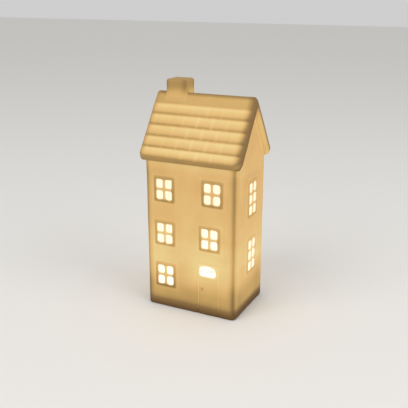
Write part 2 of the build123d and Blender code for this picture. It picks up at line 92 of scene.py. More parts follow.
# Windows: sizes, then each one's place across and up its wall
PANE_WIDTH, PANE_HEIGHT = 4.9 * MM, 6.1 * MM
NICK, NICK_OUT = 1.2 * MM, 0.35 * MM
BAR, FRAME_WIDTH = 2.4 * MM, 1.9 * MM
FRAME_RISE, FRAME_ROUND = 0.8 * MM, 0.35 * MM
FRONT_WINDOWS = ((-20.5, 93.9), (-20.5, 60.0), (-20.3, 26.5), (18.1, 95.2), (16.1, 61.0))
BACK_WINDOWS = ((-20.4, 94.5), (20.4, 94.5), (-20.4, 60.5), (20.4, 60.5), (-20.4, 26.5), (20.4, 26.5))
GABLE_WINDOWS = ((2.4, 87.1), (2.4, 43.0))
FRONT_ROWS, GABLE_ROWS = 2, 3

# Door
DOOR_X, DOOR_WIDTH, DOOR_HEIGHT = 15.0 * MM, 18.0 * MM, 40.9 * MM
DOOR_GROOVE, DOOR_GROOVE_DEPTH = 1.6 * MM, 0.9 * MM
FANLIGHT_WIDTH, FANLIGHT_HEIGHT, FANLIGHT_SILL = 12.6 * MM, 7.7 * MM, 31.4 * MM
FANLIGHT_X = DOOR_X - 0.8 * MM
FANLIGHT_ARCH, FANLIGHT_ROUND = 1.4 * MM, 1.0 * MM
KNOB_RADIUS, KNOB_FLATNESS, KNOB_X, KNOB_HEIGHT = 1.1 * MM, 0.6, 10.2 * MM, 21.0 * MM

# Melting into a soft skin
WALL_VOXEL, ROOF_VOXEL = 0.68 * MM, 0.5 * MM
WALL_SOFTENING, ROOF_SOFTENING, CHIMNEY_SOFTENING = 1, 3, 25
WAVE_SIZE, WAVE_DEPTH = 22.0 * MM, 0.3 * MM
INSIDE_SHARE, INSIDE_REACH = 0.1, 0.6 * MM

# How deep light goes into porcelain, and the heights between which the walls have relief
LIGHT_DEPTH, MOST_DEPTH, MOST_GAIN = 2.2 * MM, 14.0 * MM, 0.2
RELIEF_LOW, RELIEF_HIGH = 14.0 * MM, 107.0 * MM
RAY_INSET, RAY_EXIT, ROOM_REACH = 0.3 * MM, 0.2 * MM, 0.9 * MM
LIGHT_SPREAD, RELIEF_SPREAD = 3, 30
LAMP = sum(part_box("led_lens"), Vector()) / 2
LAMP_NEAR, LAMP_NEAR_LIGHT = 35.0 * MM, 0.8
LIT_DEPTH_SHARES, LIT_FACING, LIT_OUTSIDE = (1.15, 0.85), (0.8, 0.4), 0.4
LIT_FLOOR_LOW, LIT_FLOOR_HIGH = FLOOR_TOP - 2.5 * MM, FLOOR_TOP - MM

# Light through the walls, set to match the photograph: strength by height in mm, and its changes
WALL_LIGHT = (
    (0.0, 0.0),
    (3.4, 0.16),
    (8.4, 0.41),
    (11.0, 0.458),
    (17.0, 0.475),
    (21.0, 0.52),
    (28.0, 0.65),
    (40.0, 0.78),
    (60.0, 0.69),
    (80.0, 0.62),
    (105.0, 0.57),
    (109.0, 0.6),
    (114.0, 0.72),
)
GABLE_LOW, GABLE_HIGH, GABLE_SIDE, GABLE_LIGHT = 107.0 * MM, 112.0 * MM, 4.0 * MM, 0.6
GABLE_RIM_NEAR, GABLE_RIM_FAR, GABLE_RIM_LIGHT = 0.5 * MM, 5.0 * MM, 0.14
GABLE_FOOT_LOW, GABLE_FOOT_HIGH, GABLE_FOOT_SHADE, GABLE_SKIN = 4.0 * MM, 11.0 * MM, 0.12, 2.0 * MM
DOOR_GLOW, DOOR_GLOW_LIGHT = 14.0 * MM, 0.14
DOOR_RIM_NEAR, DOOR_RIM_FAR = 1.2, 1.6
REVEAL_LIGHT, RELIEF_CONTRAST = 1.8, 0.4
CORNER_ZONE, CORNER_SHIFT, CORNER_REACH, CORNER_SHADE = 6.0 * MM, 1.1 * MM, 2.4 * MM, 0.42
BAR_LIGHT, FRAME_LIGHT, GABLE_FRAME_LIGHT, FRAME_TOP_LIGHT = 1.08, 0.68, 0.84, 0.08
FRAME_EDGE, HALO, HALO_LIGHT = 0.5 * MM, 1.0 * MM, 0.09

# Light through the roof, set to match the photograph: strength by share of a course, and its changes
COURSE_LIGHT = (
    (0.0, 0.5),
    (0.09, 0.73),
    (0.18, 0.84),
    (0.35, 0.77),
    (0.6, 0.69),
    (0.8, 0.58),
    (0.92, 0.43),
    (1.0, 0.42),
)
EAVE_COURSE_LIGHT = ((0.0, 0.5), (0.1, 0.8), (0.2, 0.87), (0.6, 0.76), (1.0, 0.66))
RIDGE_LIGHT, RIDGE_SHADE, RIDGE_SHADE_DEPTH = 0.515, 0.2, 2.5 * MM
JOINT_LIGHT, JOINT_HALF, JOINT_TOP_SHARE = 0.03, 0.8 * MM, 0.4
JOINT_MIDDLE_X, JOINT_MIDDLE_SPAN, JOINT_MIDDLE_LIGHT = 4.0 * MM, 16.0 * MM, 0.09
LEFT_SHADE, LEFT_SHADE_X = 0.04, -30.0 * MM
LEFT_RAKE, LEFT_RAKE_LIGHT = 6.0 * MM, 0.38
RIGHT_RAKE, RIGHT_RAKE_LIGHT = 8.3 * MM, 0.2
EAVE_DARK, EAVE_BRIGHT, EAVE_FADE, EAVE_LIGHT = 2.5 * MM, 3.5 * MM, 6.0 * MM, 0.36
TOP_FACING, EAVE_FACING, RAKE_FACING = (-0.4, 0.1), (-0.9, -0.3), (0.5, 0.1)
RAKE_FACE_LIGHT, BACK_RAKE_LIGHT, BACK_RAKE = 0.22, 0.5, 5.0 * MM
BACK_RAKE_TOP, BACK_RAKE_UNDER = -2.2 * MM, -4.8 * MM
STACK_LIGHT, STACK_SHADE, STACK_LOW, STACK_HIGH = 0.585, 0.2, -2.0 * MM, 6.0 * MM
STACK_CORNER, STACK_CORNER_SHADE, STACK_CORNER_LOW, STACK_CORNER_HIGH = 4.5 * MM, 0.22, -4.0 * MM, 3.0 * MM
STACK_FOOT, STACK_CLEAR, STACK_SKIN = -0.3 * MM, 2.2 * MM, 0.8 * MM


def deselect():
    """Leave nothing selected, so that the next operator acts on its own piece alone."""
    bpy.ops.object.select_all(action="DESELECT")


def take(piece):
    """Make one piece the only selected and active one."""
    deselect()
    piece.select_set(True)
    bpy.context.view_layer.objects.active = piece


def settle(piece):
    """Put a piece's place, turn and size into its mesh."""
    take(piece)
    bpy.ops.object.transform_apply(location=True, rotation=True, scale=True)


def add_block(name, size, place, turn=0.0):
    """A box of a size, at a place, turned about X."""
    deselect()
    bpy.ops.mesh.primitive_cube_add(size=1, location=place, rotation=(turn, 0, 0))
    block = bpy.context.object
    block.name = name
    block.scale = size
    settle(block)
    return block


def add_roll(name, radius, length, place, turn=(0, math.pi / 2, 0)):
    """A round bar, along X unless it is turned another way."""
    deselect()
    bpy.ops.mesh.primitive_cylinder_add(
        vertices=96, radius=radius, depth=length, location=place, rotation=turn
    )
    roll = bpy.context.object
    roll.name = name
    settle(roll)
    return roll


def copy_of(master, place, turn=(0, 0, 0), stretch=(1, 1, 1)):
    """A copy of a piece that was modelled round the origin, with its own mesh."""
    take(master)
    bpy.ops.object.duplicate(linked=False)
    made = bpy.context.object
    made.location, made.rotation_euler, made.scale = place, turn, stretch
    settle(made)
    return made


def join(*pieces):
    """Make several pieces one."""
    take(pieces[0])
    for piece in pieces:
        piece.select_set(True)
    bpy.ops.object.join()
    return pieces[0]


def round_edges(piece, wanted, radius, segments):
    """Bevel the edges for which wanted(middle, direction) holds."""
    take(piece)
    bpy.ops.object.mode_set(mode="EDIT")
    bpy.ops.mesh.select_mode(type="EDGE")
    bpy.ops.mesh.select_all(action="DESELECT")
    mesh = bmesh.from_edit_mesh(piece.data)
    for edge in mesh.edges:
        low, high = (corner.co for corner in edge.verts)
        edge.select = wanted((low + high) / 2, (high - low).normalized())
    bmesh.update_edit_mesh(piece.data)
    bpy.ops.mesh.bevel(offset=radius, segments=segments, affect="EDGES")
    bpy.ops.object.mode_set(mode="OBJECT")


def slice_off(piece, place, way):
    """Cut off what lies past a plane, given by a place on it and the way out of it."""
    take(piece)
    bpy.ops.object.mode_set(mode="EDIT")
    bpy.ops.mesh.select_all(action="SELECT")
    bpy.ops.mesh.bisect(plane_co=place, plane_no=way, use_fill=True, clear_outer=True)
    bpy.ops.object.mode_set(mode="OBJECT")


def slice_slopes(piece, depth):
    """Cut a piece off along both slopes, at a depth under the roof's base plane."""
    for side in (-1, 1):
        top = (0, 0, RIDGE - depth / math.cos(PITCH))
        slice_off(piece, top, (0, side * math.sin(PITCH), math.cos(PITCH)))


def finish_with(piece, kind, **settings):
    """Add a modifier with its settings and apply it."""
    take(piece)
    bpy.ops.object.modifier_add(type=kind)
    step = piece.modifiers[-1]
    for name, value in settings.items():
        setattr(step, name, value)
    bpy.ops.object.modifier_apply(modifier=step.name)


def combine(piece, tool, operation):
    """Cut or add one piece with another, which is used up."""
    finish_with(piece, "BOOLEAN", object=tool, operation=operation, solver="EXACT")
    bpy.data.objects.remove(tool)


def upright(middle, direction):
    """True of edges that stand upright."""
    return abs(direction.z) > 0.99


def through_wall(middle, direction):
    """True of edges that run from front to back."""
    return abs(direction.y) > 0.99


def through_corner(middle, direction):
    """True of the fanlight's four corner edges that run from front to back."""
    at_side = abs(abs(middle.x - FANLIGHT_X) - FANLIGHT_WIDTH / 2) < MM / 100
    return through_wall(middle, direction) and at_side


def on_slope(side, down, proud):
    """A place on a slope: distance down from the ridge, and height over the base plane."""
    y = side * (down * math.cos(PITCH) + proud * math.sin(PITCH))
    return Vector((0, y, RIDGE - down * math.sin(PITCH) + proud * math.cos(PITCH)))


def window_places():
    """Every window as its centre on the wall's face, the wall's turn and its rows of panes."""
    places = [((x * MM, -WALL_DEPTH / 2, z * MM), 0, FRONT_ROWS) for x, z in FRONT_WINDOWS]
    places += [((x * MM, WALL_DEPTH / 2, z * MM), 0, FRONT_ROWS) for x, z in BACK_WINDOWS]
    for x in (-WALL_WIDTH / 2, WALL_WIDTH / 2):
        places += [((x, y * MM, z * MM), math.pi / 2, GABLE_ROWS) for y, z in GABLE_WINDOWS]
    return [(Vector(place), turn, rows) for place, turn, rows in places]


def window_frames():
    """The raised, softly rounded borders of all windows."""
    width = 2 * PANE_WIDTH + BAR + 2 * FRAME_WIDTH
    borders = {}
    for rows in (FRONT_ROWS, GABLE_ROWS):
        height = rows * PANE_HEIGHT + (rows - 1) * BAR + 2 * FRAME_WIDTH
        borders[rows] = add_block("window_frame", (width, 2 * FRAME_RISE, height), (0, 0, 0))
        round_edges(borders[rows], lambda middle, direction: True, FRAME_ROUND, 3)
    made = [copy_of(borders[rows], place, (0, 0, turn)) for place, turn, rows in window_places()]
    for border in borders.values():
        bpy.data.objects.remove(border)
    return made


def window_panes():
    """The openings of all windows, with a nick in each corner, as melting rounds the corners again."""
    pane = add_block("window_pane", (PANE_WIDTH, 2 * (WALL + OVERRUN), PANE_HEIGHT), (0, 0, 0))
    out, up = PANE_WIDTH / 2 + NICK_OUT - NICK / 2, PANE_HEIGHT / 2 + NICK_OUT - NICK / 2
    for x, z in ((-out, -up), (out, -up), (-out, up), (out, up)):
        combine(pane, add_block("nick", (NICK, 2 * WALL + OVERRUN, NICK), (x, 0, z)), "UNION")
    made = []
    for place, turn, rows in window_places():
        along = Vector((math.cos(turn), math.sin(turn), 0)) * (PANE_WIDTH + BAR) / 2
        for row in range(rows):
            up = Vector((0, 0, (row - (rows - 1) / 2) * (PANE_HEIGHT + BAR)))
            made += [copy_of(pane, place + side * along + up, (0, 0, turn)) for side in (-1, 1)]
    bpy.data.objects.remove(pane)
    return made


def fanlight():
    """The opening over the door: upright sides, a low arch above."""
    depth = 2 * (WALL + OVERRUN)
    arch_radius = (FANLIGHT_WIDTH**2 / 4 + FANLIGHT_ARCH**2) / (2 * FANLIGHT_ARCH)
    top = FANLIGHT_SILL + FANLIGHT_HEIGHT
    size = (FANLIGHT_WIDTH, depth, FANLIGHT_HEIGHT)
    light = add_block("fanlight", size, (FANLIGHT_X, -WALL_DEPTH / 2, top - FANLIGHT_HEIGHT / 2))
    arch_centre = (FANLIGHT_X, -WALL_DEPTH / 2, top - arch_radius)
    arch = add_roll("arch", arch_radius, depth, arch_centre, (math.pi / 2, 0, 0))
    combine(light, arch, "INTERSECT")
    round_edges(light, through_corner, FANLIGHT_ROUND, 3)
    return light


def door_grooves():
    """The grooves at the sides and head of the door."""
    side = (DOOR_WIDTH - DOOR_GROOVE) / 2
    post_size = (DOOR_GROOVE, 2 * DOOR_GROOVE_DEPTH, DOOR_HEIGHT + OVERRUN)
    post_place = (DOOR_X - side, -WALL_DEPTH / 2, (DOOR_HEIGHT - OVERRUN) / 2)
    post = add_block("door_groove", post_size, post_place)
    other = copy_of(post, (2 * side, 0, 0))
    head_size = (DOOR_WIDTH, 2 * DOOR_GROOVE_DEPTH, DOOR_GROOVE)
    head_place = (DOOR_X, -WALL_DEPTH / 2, DOOR_HEIGHT - DOOR_GROOVE / 2)
    return post, other, add_block("door_groove", head_size, head_place)


def door_knob():
    """A small knob: a ball pressed flat against the door."""
    deselect()
    place = (KNOB_X, -WALL_DEPTH / 2, KNOB_HEIGHT)
    bpy.ops.mesh.primitive_uv_sphere_add(segments=24, ring_count=16, radius=KNOB_RADIUS, location=place)
    knob = bpy.context.object
    knob.scale.y = KNOB_FLATNESS
    settle(knob)
    return knob


def room_block(roof_depth):
    """The hollow inside the walls, up to a depth under the roof's base plane."""
    height = RIDGE - FLOOR_TOP
    size = (WALL_WIDTH - 2 * WALL, WALL_DEPTH - 2 * WALL, height)
    room = add_block("room", size, (0, 0, FLOOR_TOP + height / 2))
    round_edges(room, upright, ROOM_CORNER, 8)
    slice_slopes(room, roof_depth)
    return room


def foot_recess():
    """The hollow under the floor."""
    height = FLOOR_UNDER + OVERRUN
    size = (WALL_WIDTH - 2 * FOOT_WIDTH, WALL_DEPTH - 2 * FOOT_WIDTH, height)
    recess = add_block("recess", size, (0, 0, FLOOR_UNDER - height / 2))
    round_edges(recess, upright, WALL_CORNER, 6)
    return recess


def melt(piece, voxel, softening):
    """Turn a piece into one soft, slightly uneven skin, as porcelain comes out of its mould."""
    finish_with(piece, "REMESH", mode="VOXEL", voxel_size=voxel, use_smooth_shade=True)
    finish_with(piece, "SMOOTH", factor=0.5, iterations=softening)
    waves = bpy.data.textures.new("mould_waves", "CLOUDS")
    waves.noise_scale, waves.noise_depth = WAVE_SIZE, 1
    finish_with(piece, "DISPLACE", texture=waves, texture_coords="LOCAL", strength=WAVE_DEPTH, mid_level=0.5)


def choose(piece, wanted):
    """Go into edit mode with the wanted vertices selected."""
    take(piece)
    bpy.ops.object.mode_set(mode="EDIT")
    bpy.ops.mesh.select_mode(type="VERT")
    bpy.ops.mesh.select_all(action="DESELECT")
    mesh = bmesh.from_edit_mesh(piece.data)
    for vertex, chosen in zip(mesh.verts, wanted):
        vertex.select = bool(chosen)
    mesh.select_flush(True)
    bmesh.update_edit_mesh(piece.data)


def thin_inside(piece):
    """Use fewer faces on the plain inner walls."""
    choose(piece, out_of_room(read_vertices(piece)[0])[0] < INSIDE_REACH)
    bpy.ops.mesh.decimate(ratio=INSIDE_SHARE)
    bpy.ops.object.mode_set(mode="OBJECT")


def house_walls():
    """Walls, gables, floor, window frames and bars, and the door's relief."""
    walls = add_block("house_walls", (WALL_WIDTH, WALL_DEPTH, RIDGE), (0, 0, FOOT_CLEAR + RIDGE / 2))
    round_edges(walls, upright, WALL_CORNER, 8)
    slice_slopes(walls, ROOF_THICKNESS / 2)
    round_edges(walls, lambda middle, direction: middle.z < 2 * FOOT_CLEAR, FOOT_ROUND, 3)
    combine(walls, join(*window_frames(), door_knob()), "UNION")
    combine(walls, room_block(0), "DIFFERENCE")
    combine(walls, foot_recess(), "DIFFERENCE")
    combine(walls, add_roll("hole", HOLE_RADIUS, 4 * FLOOR_TOP, (0, 0, FLOOR_TOP), (0, 0, 0)), "DIFFERENCE")
    combine(walls, join(*window_panes(), fanlight()), "DIFFERENCE")
    for groove in door_grooves():
        combine(walls, groove, "DIFFERENCE")
    melt(walls, WALL_VOXEL, WALL_SOFTENING)
    thin_inside(walls)
    return walls


def roof_slab(side):
    """One slope of the roof: a slab rounded at its lower corners and along its rakes."""
    place = on_slope(side, (SLOPE - RIDGE_LAP) / 2, -ROOF_THICKNESS / 2)
    slab = add_block("roof_slab", (ROOF_LENGTH, SLOPE + RIDGE_LAP, ROOF_THICKNESS), place, -side * PITCH)
    across = Vector((0, side * math.sin(PITCH), math.cos(PITCH)))
    lowest = EAVE_HEIGHT + EAVE_CORNER
    end = ROOF_LENGTH / 2 - EAVE_CORNER - MM / 10
    round_edges(slab, lambda at, way: abs(way.dot(across)) > 0.99 and at.z < lowest, EAVE_CORNER, 8)
    round_edges(slab, lambda at, way: abs(way.dot(across)) < 0.1 and abs(at.x) > end, RAKE_ROUND, 6)
    slice_off(slab, (0, -side * MM / 10, 0), (0, -side, 0))
    return slab


def chimney():
    """The chimney's block, rounded at its corners and top."""
    top = house_high.z - MM / 10
    size = (CHIMNEY_WIDTH, CHIMNEY_DEPTH, top - CHIMNEY_ROOT)
    stack = add_block("chimney", size, (CHIMNEY_X, CHIMNEY_Y, (top + CHIMNEY_ROOT) / 2))
    round_edges(stack, upright, CHIMNEY_ROUND, 5)
    round_edges(stack, lambda middle, direction: middle.z > top - MM / 10, CHIMNEY_TOP_ROUND, 4)
    return stack


def flue():
    """The hollow inside the chimney."""
    top, bottom = house_high.z - CHIMNEY_CAP, CHIMNEY_ROOT - OVERRUN
    size = (CHIMNEY_WIDTH - 2 * CHIMNEY_WALL, CHIMNEY_DEPTH - 2 * CHIMNEY_WALL, top - bottom)
    return add_block("flue", size, (CHIMNEY_X, CHIMNEY_Y, (top + bottom) / 2))


def course_lines():
    """How far down the slope the shingles begin, and where each course ends."""
    eave_line = EAVE_ROLL_OUT * math.cos(PITCH) + (RIDGE - EAVE_ROLL_HEIGHT) * math.sin(PITCH)
    ridge_line = (RIDGE_ROLL - RIDGE_STEP) * math.tan(PITCH)
    return [ridge_line, *(course * COURSE + COURSE_SHIFT for course in range(1, COURSES)), eave_line]


def shingles():
    """All shingles: a plain ridge course on each slope, then courses with staggered joints."""
    tile = add_block("shingle", (SHINGLE_WIDTH - SHINGLE_JOINT, COURSE, SHINGLE_THICKNESS), (0, 0, 0))
    round_edges(tile, lambda middle, direction: True, SHINGLE_ROUND, 3)
    edge = ROOF_LENGTH / 2 - SHINGLE_INSET
    lines = course_lines()
    made = []
    for side in (-1, 1):
        for course, (upper, lower) in enumerate(zip(lines, lines[1:])):
            shift = 0 if course % 2 else SHINGLE_WIDTH / 2
            joints = [-ROOF_LENGTH / 2 + shift + number * SHINGLE_WIDTH for number in range(SHINGLES + 1)]
            inner = [x for x in joints if abs(x) < edge - MM] if course else []
            cuts = [-edge, *inner, edge]
            step = EAVE_STEP if lower == lines[-1] else SHINGLE_STEP
            tilt = math.atan(step / (lower - upper)) if course else 0
            proud = (step / 2 if course else RIDGE_STEP) - SHINGLE_THICKNESS / 2
            for low, high in zip(cuts, cuts[1:]):
                place = on_slope(side, (upper + lower) / 2, proud)
                place.x = (low + high) / 2
                stretch = ((high - low) / SHINGLE_WIDTH, (lower - upper) / COURSE, 1)
                made.append(copy_of(tile, place, (-side * (PITCH - tilt), 0, 0), stretch))
    bpy.data.objects.remove(tile)
    return made


def rolled_edges():
    """The rounded ridge and the rounded lower edges of both slopes, with rounded ends."""
    ridge_length, eave_length = ROOF_LENGTH - RIDGE_SHORT, ROOF_LENGTH - EAVE_END
    top = RIDGE + (RIDGE_STEP - RIDGE_ROLL) / math.cos(PITCH)
    ridge = add_roll("ridge_roll", RIDGE_ROLL, ridge_length, (0, 0, top))
    round_edges(ridge, lambda at, way: abs(at.x) > ridge_length / 2 - MM / 10, RIDGE_END, 4)
    eave = add_roll("eave_roll", EAVE_ROLL, eave_length, (0, EAVE_ROLL_OUT, EAVE_ROLL_HEIGHT))
    round_edges(eave, lambda at, way: abs(at.x) > eave_length / 2 - MM / 10, EAVE_END, 6)
    return ridge, eave, copy_of(eave, (0, -2 * EAVE_ROLL_OUT, 0))


def from_chimney(places):
    """How far inside the chimney's sides each place is, across and along the house, and over the slope."""
    x, y, z = places.T
    across = CHIMNEY_WIDTH / 2 - np.abs(x - CHIMNEY_X)
    along = CHIMNEY_DEPTH / 2 - np.abs(y - CHIMNEY_Y)
    return across, along, (z - RIDGE) * math.cos(PITCH) + np.abs(y) * math.sin(PITCH)


def soften_foot(roof):
    """Smooth the corner where the chimney meets the slopes into a hollow."""
    across, along, proud = from_chimney(read_vertices(roof)[0])
    beside = np.minimum(across, along)
    near = (beside > -CHIMNEY_FILLET) & (beside < MM / 2)
    choose(roof, near & (proud > -MM / 2) & (proud < CHIMNEY_FILLET))
    bpy.ops.mesh.vertices_smooth(factor=0.5, repeat=CHIMNEY_SOFTENING)
    bpy.ops.object.mode_set(mode="OBJECT")


def house_roof():
    """Both slopes, the shingles, the rolled eaves and ridge, and the chimney."""
    roof = roof_slab(-1)
    roof.name = "house_roof"
    combine(roof, roof_slab(1), "UNION")
    combine(roof, chimney(), "UNION")
    combine(roof, room_block(ROOF_SHELL), "DIFFERENCE")
    combine(roof, flue(), "DIFFERENCE")
    join(roof, *rolled_edges(), *shingles())
    melt(roof, ROOF_VOXEL, ROOF_SOFTENING)
    soften_foot(roof)
    thin_inside(roof)
    return roof


def read_vertices(piece):
    """A mesh's places and normals as two arrays."""
    count = len(piece.data.vertices)
    places, normals = np.empty(3 * count), np.empty(3 * count)
    piece.data.vertices.foreach_get("co", places)
    piece.data.vertices.foreach_get("normal", normals)
    return places.reshape(-1, 3), normals.reshape(-1, 3)


def spread(piece, values, rounds):
    """Even out a value over neighbouring vertices, as light spreads sideways in porcelain."""
    ends = np.empty(2 * len(piece.data.edges), int)
    piece.data.edges.foreach_get("vertices", ends)
    first, second = ends.reshape(-1, 2).T
    count = len(values)
    shared = np.bincount(first, minlength=count) + np.bincount(second, minlength=count)
    for _ in range(rounds):
        total = np.bincount(first, values[second], count) + np.bincount(second, values[first], count)
        values = (values + total / np.maximum(shared, 1)) / 2
    return values


def smooth_step(low, high, values):
    """0 at low, 1 at high, and a smooth rise between."""
    share = np.clip((values - low) / (high - low), 0, 1)
    return share * share * (3 - 2 * share)


def out_of_room(places):
    """How far each place is outside the room, and the direction out of it, zero inside."""
    x, y, z = np.abs(places[:, 0]), np.abs(places[:, 1]), places[:, 2]
    rise = (z + y * math.tan(PITCH) - RIDGE) * math.cos(PITCH) + ROOF_SHELL
    over = np.maximum(rise, 0)
    way = np.stack(
        (
            np.maximum(x - WALL_WIDTH / 2 + WALL, 0) * np.sign(places[:, 0]),
            (np.maximum(y - WALL_DEPTH / 2 + WALL, 0) + over * math.sin(PITCH)) * np.sign(places[:, 1]),
            over * math.cos(PITCH) - np.maximum(FLOOR_TOP - z, 0),
        ),
        1,
    )
    far = np.linalg.norm(way, axis=1)
    return far, way / np.maximum(far, MM / 1000)[:, None]


def curve(values, table):
    """A strength read off a table of places and strengths, straight between them."""
    return np.interp(values, *zip(*table))


def wall_light(places):
    """How much lamplight falls on the walls: least at the foot, most by the door."""
    x, y, z = places.T
    light = curve(z / MM, WALL_LIGHT)
    under_roof = RIDGE - np.abs(y) * math.tan(PITCH) - ROOF_THICKNESS / math.cos(PITCH) - z
    rim = GABLE_RIM_LIGHT * smooth_step(GABLE_RIM_FAR, GABLE_RIM_NEAR, under_roof) * (y > 0)
    gable = smooth_step(GABLE_LOW, GABLE_HIGH, z) * (np.abs(y) < WALL_DEPTH / 2 - GABLE_SIDE)
    light += gable * (GABLE_LIGHT + rim - light)
    foot = smooth_step(GABLE_FOOT_HIGH, GABLE_FOOT_LOW, z) * (np.abs(x) > WALL_WIDTH / 2 - GABLE_SKIN)
    light -= GABLE_FOOT_SHADE * foot
    beside = np.hypot(x - FANLIGHT_X, z - FANLIGHT_SILL - FANLIGHT_HEIGHT / 2) / DOOR_GLOW
    return light + DOOR_GLOW_LIGHT * np.exp(-(beside**2)) * (y < -WALL_DEPTH / 3)


def wall_thinness(piece, places, normals, chosen):
    """How much light the porcelain behind each chosen vertex lets through, from a ray into the room."""
    tree = BVHTree.FromPolygons(
        [vertex.co for vertex in piece.data.vertices], [face.vertices for face in piece.data.polygons]
    )
    starts = places.copy()
    starts[:, 2] = np.clip(places[:, 2], RELIEF_LOW, RELIEF_HIGH)
    ways = -normals
    ways[starts[:, 2] != places[:, 2], 2] = 0
    depth = np.full(len(places), WALL)
    for index in np.flatnonzero(chosen & (np.linalg.norm(ways, axis=1) > 0.5)):
        way = Vector(ways[index]).normalized()
        found = tree.ray_cast(Vector(starts[index]) + way * RAY_INSET, way, MOST_DEPTH)
        depth[index] = MOST_DEPTH if found[0] is None else found[3] + RAY_INSET
    exits = starts - normals * (depth + RAY_EXIT)[:, None]
    far, way_out = out_of_room(exits)
    reached = far < ROOM_REACH
    for index in np.flatnonzero(chosen & ~reached):
        reached[index] = tree.ray_cast(Vector(exits[index]), Vector(-way_out[index]), far[index])[0] is None
    return np.exp(np.minimum((WALL - depth) / LIGHT_DEPTH, MOST_GAIN)) * reached


def window_light(places, relief):
    """What windows do to the light through a wall: pale bars, dim frames, a pale line round each frame."""
    for place, turn, rows in window_places():
        x, y, z = (places - np.array(place)).T
        across, deep = (np.abs(y), np.abs(x)) if turn else (np.abs(x), np.abs(y))
        half_width = PANE_WIDTH + BAR / 2 + FRAME_WIDTH
        half_height = rows * (PANE_HEIGHT + BAR) / 2 - BAR / 2 + FRAME_WIDTH
        beyond = np.maximum(across - half_width, np.abs(z) - half_height)
        border = (GABLE_FRAME_LIGHT if turn else FRAME_LIGHT) + FRAME_TOP_LIGHT * z / half_height
        least = np.where(beyond < -FRAME_WIDTH, BAR_LIGHT, border)
        least = np.where((deep < WALL) & (beyond < FRAME_EDGE), least, 0)
        halo = HALO_LIGHT * np.exp(-(((beyond - HALO) / HALO) ** 2)) * (beyond > 0) * (deep < WALL)
        relief = np.maximum(relief, least) * (1 + halo)
    return relief


def wall_glow(piece, places, normals, chosen):
    """Light through the walls: bright next to openings, dim at the corners of the house."""
    thinness = np.where(chosen, wall_thinness(piece, places, normals, chosen), REVEAL_LIGHT)
    relief = spread(piece, thinness, LIGHT_SPREAD)
    relief += RELIEF_CONTRAST * (relief - spread(piece, relief, RELIEF_SPREAD))
    from_side, from_front = WALL_WIDTH / 2 - np.abs(places[:, 0]), WALL_DEPTH / 2 - np.abs(places[:, 1])
    off_corner = (from_side - from_front - CORNER_SHIFT) / CORNER_REACH
    stripe = 1 - CORNER_SHADE * np.exp(-(off_corner**2))
    relief = np.where(np.maximum(from_side, from_front) < CORNER_ZONE, stripe, relief)
    relief = window_light(places, relief)
    across = (places[:, 0] - FANLIGHT_X) / (FANLIGHT_WIDTH / 2)
    up = (places[:, 2] - FANLIGHT_SILL - FANLIGHT_HEIGHT / 2) / (FANLIGHT_HEIGHT / 2)
    rim = smooth_step(DOOR_RIM_FAR, DOOR_RIM_NEAR, (across**4 + up**4) ** 0.25)
    rim *= places[:, 1] < -WALL_DEPTH / 3
    return np.maximum(np.maximum(relief, 0) * wall_light(places), rim)


def course_light(places):
    """Light through the shingles: by the place on the course, with pale joints and dim rakes."""
    x, y, z = places.T
    lines = np.array(course_lines())
    down = (RIDGE - z) * math.sin(PITCH) + np.abs(y) * math.cos(PITCH)
    course = np.clip(np.searchsorted(lines, down) - 1, 0, COURSES - 1)
    share = (down - lines[course]) / (lines[course + 1] - lines[course])
    light = np.where(course == COURSES - 1, curve(share, EAVE_COURSE_LIGHT), curve(share, COURSE_LIGHT))
    ridge = RIDGE_LIGHT - RIDGE_SHADE * smooth_step(RIDGE - RIDGE_SHADE_DEPTH, RIDGE, z)
    light = np.where(course == 0, ridge, light)
    shift = np.where(course % 2, 0, SHINGLE_WIDTH / 2)
    from_joint = (x + ROOF_LENGTH / 2 - shift + SHINGLE_WIDTH / 2) % SHINGLE_WIDTH - SHINGLE_WIDTH / 2
    off_middle = (x - JOINT_MIDDLE_X) / JOINT_MIDDLE_SPAN
    joint = JOINT_LIGHT + JOINT_MIDDLE_LIGHT * np.exp(-(off_middle**2))
    joint *= np.where(course > 1, 1, JOINT_TOP_SHARE) * (course > 0)
    light += joint * np.exp(-((from_joint / JOINT_HALF) ** 2))
    light -= LEFT_SHADE * smooth_step(0, LEFT_SHADE_X, x)
    rake = np.where(x > 0, RIGHT_RAKE, LEFT_RAKE)
    rake_light = np.where(x > 0, RIGHT_RAKE_LIGHT, LEFT_RAKE_LIGHT)
    return rake_light + (light - rake_light) * smooth_step(0, 1, (ROOF_LENGTH / 2 - np.abs(x)) / rake)


